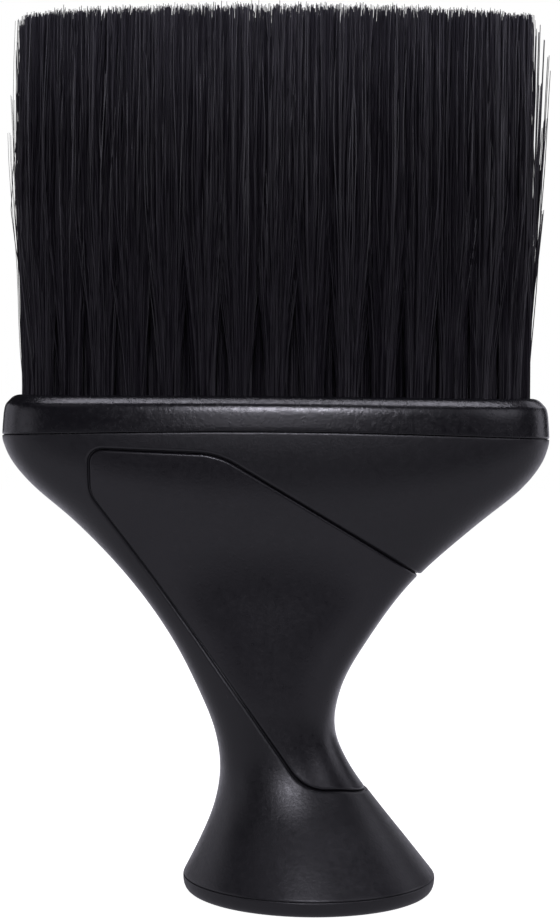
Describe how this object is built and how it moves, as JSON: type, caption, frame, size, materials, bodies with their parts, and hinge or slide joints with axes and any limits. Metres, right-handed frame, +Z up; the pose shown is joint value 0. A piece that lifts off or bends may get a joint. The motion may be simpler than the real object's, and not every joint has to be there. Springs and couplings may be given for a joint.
{
  "type": "neck duster brush",
  "caption": "Broad soft-bristle barber's neck duster on a waisted handle with a soft grip skin and a flared foot that lets it stand upright.",
  "frame": {"origin": "on the resting surface, under the middle of the bristle head, which is the middle of the whole object's box", "axes": "+Z up from the foot to the bristle tips, +X along the broad head towards the side that the foot is offset to and the grip wraps round, -Y out of the front"},
  "size_m": [0.104, 0.043, 0.1645],
  "materials": {
    "handle_plastic": "satin",
    "grip_rubber": "matte",
    "head_plastic": "satin",
    "cap_plastic": "satin",
    "bristle_nylon": "satin",
    "wire_steel": "satin"
  },
  "bodies": {
    "root": {"handle_body": "handle_plastic", "grip_inlay": "grip_rubber", "bristle_head": "head_plastic", "base_cap": "cap_plastic", "wire_front": "wire_steel", "tuft_front_01": "bristle_nylon", "tuft_front_02": "bristle_nylon", "tuft_front_03": "bristle_nylon", "tuft_front_04": "bristle_nylon", "tuft_front_05": "bristle_nylon", "tuft_front_06": "bristle_nylon", "tuft_front_07": "bristle_nylon", "tuft_front_08": "bristle_nylon", "tuft_front_09": "bristle_nylon", "tuft_front_10": "bristle_nylon", "tuft_front_11": "bristle_nylon", "tuft_front_12": "bristle_nylon", "tuft_front_13": "bristle_nylon", "tuft_front_14": "bristle_nylon", "tuft_front_15": "bristle_nylon", "wire_middle": "wire_steel", "tuft_middle_01": "bristle_nylon", "tuft_middle_02": "bristle_nylon", "tuft_middle_03": "bristle_nylon", "tuft_middle_04": "bristle_nylon", "tuft_middle_05": "bristle_nylon", "tuft_middle_06": "bristle_nylon", "tuft_middle_07": "bristle_nylon", "tuft_middle_08": "bristle_nylon", "tuft_middle_09": "bristle_nylon", "tuft_middle_10": "bristle_nylon", "tuft_middle_11": "bristle_nylon", "tuft_middle_12": "bristle_nylon", "tuft_middle_13": "bristle_nylon", "tuft_middle_14": "bristle_nylon", "tuft_middle_15": "bristle_nylon", "tuft_middle_16": "bristle_nylon", "wire_back": "wire_steel", "tuft_back_01": "bristle_nylon", "tuft_back_02": "bristle_nylon", "tuft_back_03": "bristle_nylon", "tuft_back_04": "bristle_nylon", "tuft_back_05": "bristle_nylon", "tuft_back_06": "bristle_nylon", "tuft_back_07": "bristle_nylon", "tuft_back_08": "bristle_nylon", "tuft_back_09": "bristle_nylon", "tuft_back_10": "bristle_nylon", "tuft_back_11": "bristle_nylon", "tuft_back_12": "bristle_nylon", "tuft_back_13": "bristle_nylon", "tuft_back_14": "bristle_nylon", "tuft_back_15": "bristle_nylon"}
  },
  "joints": []
}
